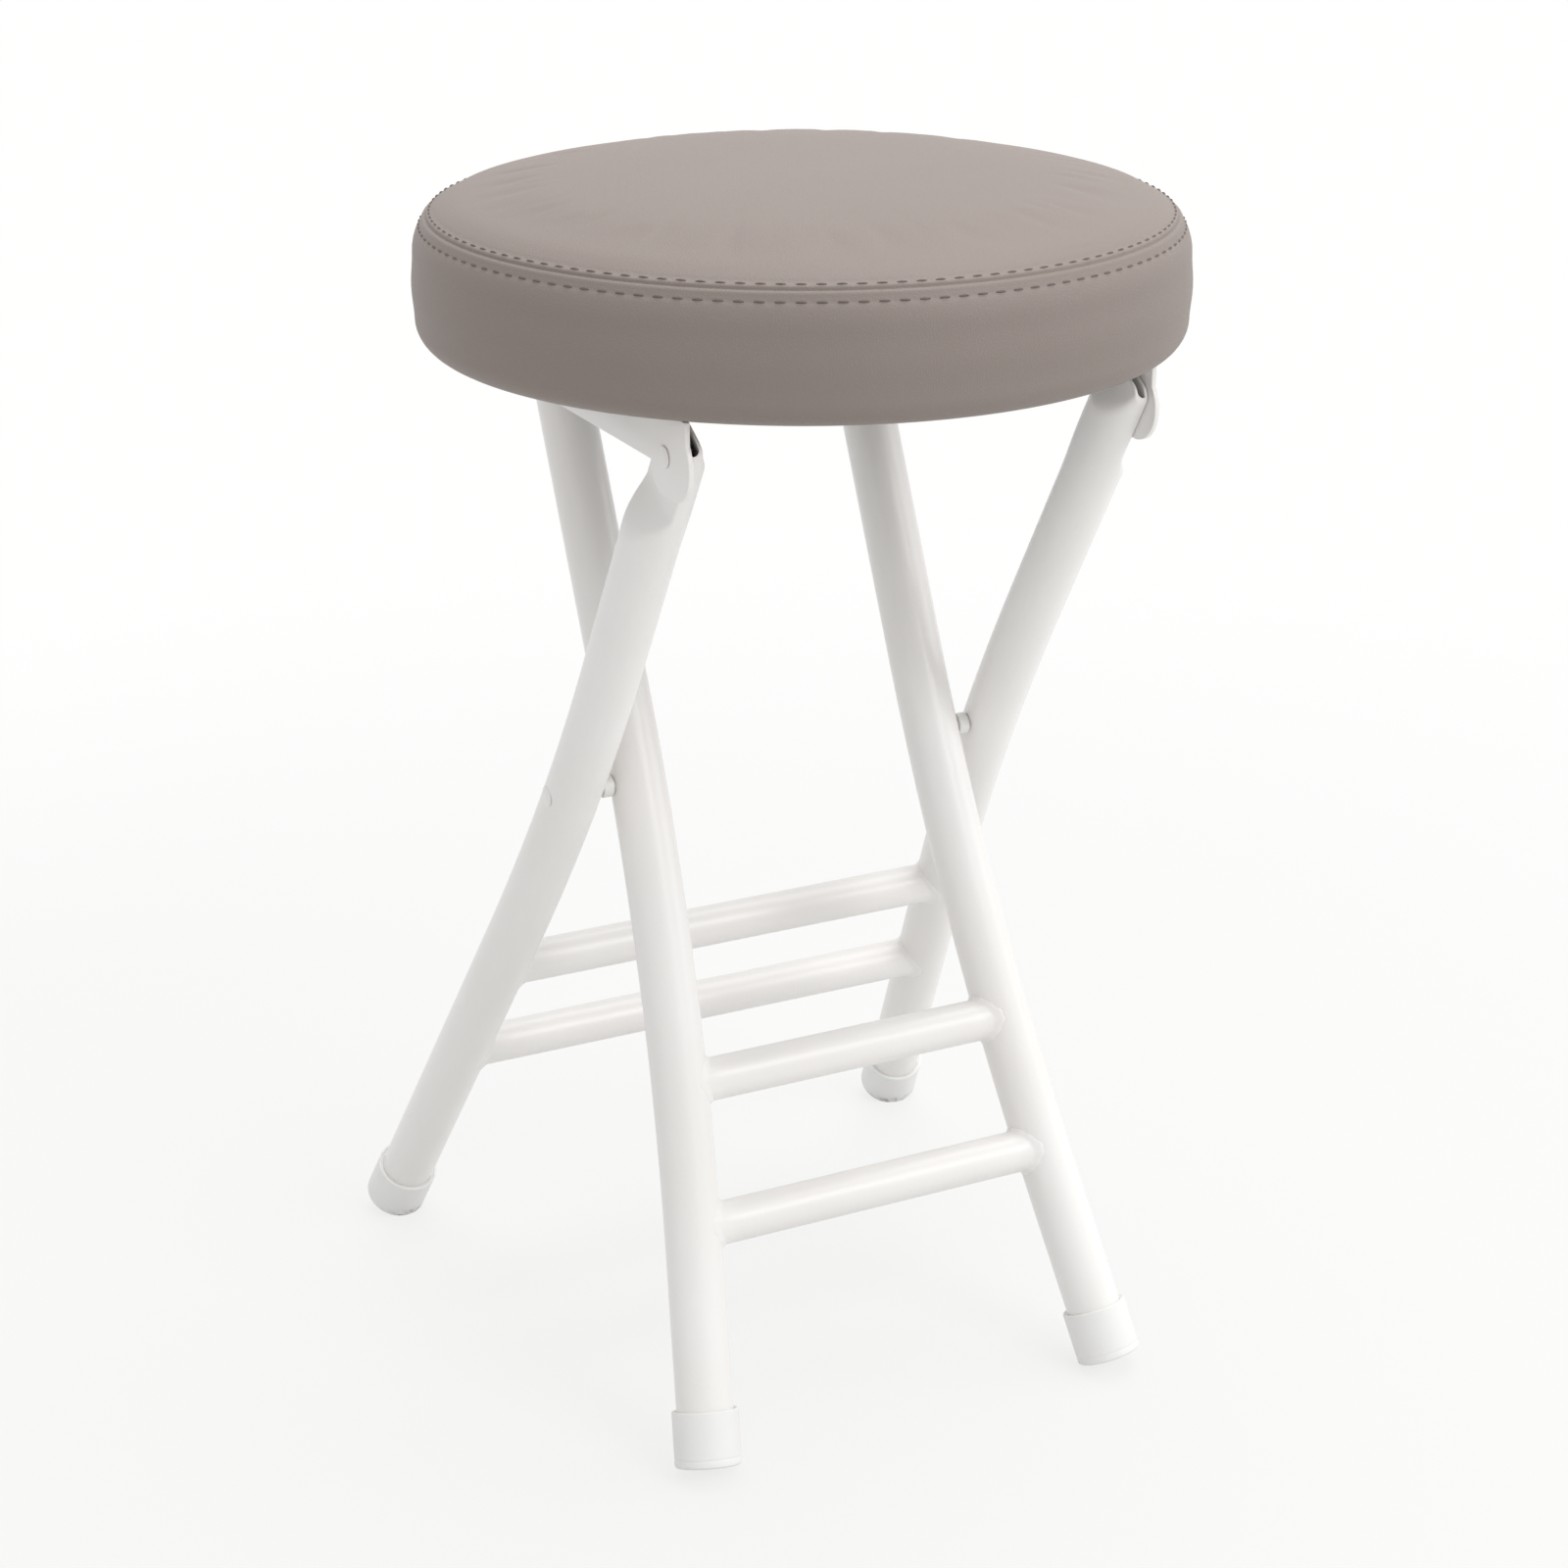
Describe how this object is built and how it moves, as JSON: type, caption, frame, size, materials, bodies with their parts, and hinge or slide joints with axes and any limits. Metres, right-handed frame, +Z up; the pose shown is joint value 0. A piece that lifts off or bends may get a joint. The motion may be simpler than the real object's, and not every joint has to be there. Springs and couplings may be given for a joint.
{
  "type": "folding stool",
  "caption": "Folding stool with a round padded seat on two crossed tubular steel frames; the seat swings up and the legs close flat for storage.",
  "frame": {"origin": "middle of the stool's plan, on the floor that its four feet stand on", "axes": "+Z up, +X to the right and -Y to the front, where the seat is hinged to the outer frame"},
  "size_m": [0.29, 0.3106, 0.4791],
  "materials": {
    "powder_coated_steel": "white gloss powder coat",
    "foot_plastic": "white moulded plastic, worn on its lower edge",
    "leathercloth": "taupe leathercloth with a fine grain and twin rows of dark stitching",
    "foam": "cut upholstery foam",
    "plywood": "bare plywood",
    "lining": "dark grey felt lining",
    "zinc_steel": "bright zinc plate",
    "nylon": "white nylon"
  },
  "bodies": {
    "outer_frame": {"outer_leg_left": "powder_coated_steel", "outer_leg_right": "powder_coated_steel", "outer_rung_upper": "powder_coated_steel", "outer_rung_lower": "powder_coated_steel", "outer_foot_cap_left": "foot_plastic", "outer_foot_cap_right": "foot_plastic", "crossing_rivet_left": "powder_coated_steel", "crossing_rivet_right": "powder_coated_steel", "crossing_spacer_left": "nylon", "crossing_spacer_right": "nylon"},
    "inner_frame": {"inner_frame_tube": "powder_coated_steel", "inner_rung_upper": "powder_coated_steel", "inner_rung_lower": "powder_coated_steel", "inner_foot_cap_left": "foot_plastic", "inner_foot_cap_right": "foot_plastic"},
    "seat": {"seat_cover_top": "leathercloth", "seat_cover_side": "leathercloth", "seat_foam": "foam", "seat_board": "plywood", "seat_lining": "lining", "seat_rail_left": "powder_coated_steel", "seat_rail_right": "powder_coated_steel", "seat_pivot_rivet_left": "powder_coated_steel", "seat_pivot_rivet_right": "powder_coated_steel", "rail_screw_left_front": "zinc_steel", "rail_screw_left_rear": "zinc_steel", "rail_screw_right_front": "zinc_steel", "rail_screw_right_rear": "zinc_steel", "tee_nut_left_front": "zinc_steel", "tee_nut_left_rear": "zinc_steel", "tee_nut_right_front": "zinc_steel", "tee_nut_right_rear": "zinc_steel", "crossbar_hook_left": "nylon", "crossbar_hook_right": "nylon", "hook_screw_left_front": "zinc_steel", "hook_screw_left_rear": "zinc_steel", "hook_screw_right_front": "zinc_steel", "hook_screw_right_rear": "zinc_steel"}
  },
  "joints": [
    {"name": "seat_tilt", "type": "hinge", "parent": "outer_frame", "child": "seat", "pos_m": [0, -0.09297, 0.40117], "axis": [1, 0, 0], "range_deg": [0, 121]},
    {"name": "leg_fold", "type": "hinge", "parent": "outer_frame", "child": "inner_frame", "pos_m": [0, 0.00159, 0.2438], "axis": [1, 0, 0], "range_deg": [0, 46]}
  ],
  "couplings": [
    {"joint": "leg_fold", "follows": "seat_tilt", "ratio": 0.38}
  ]
}
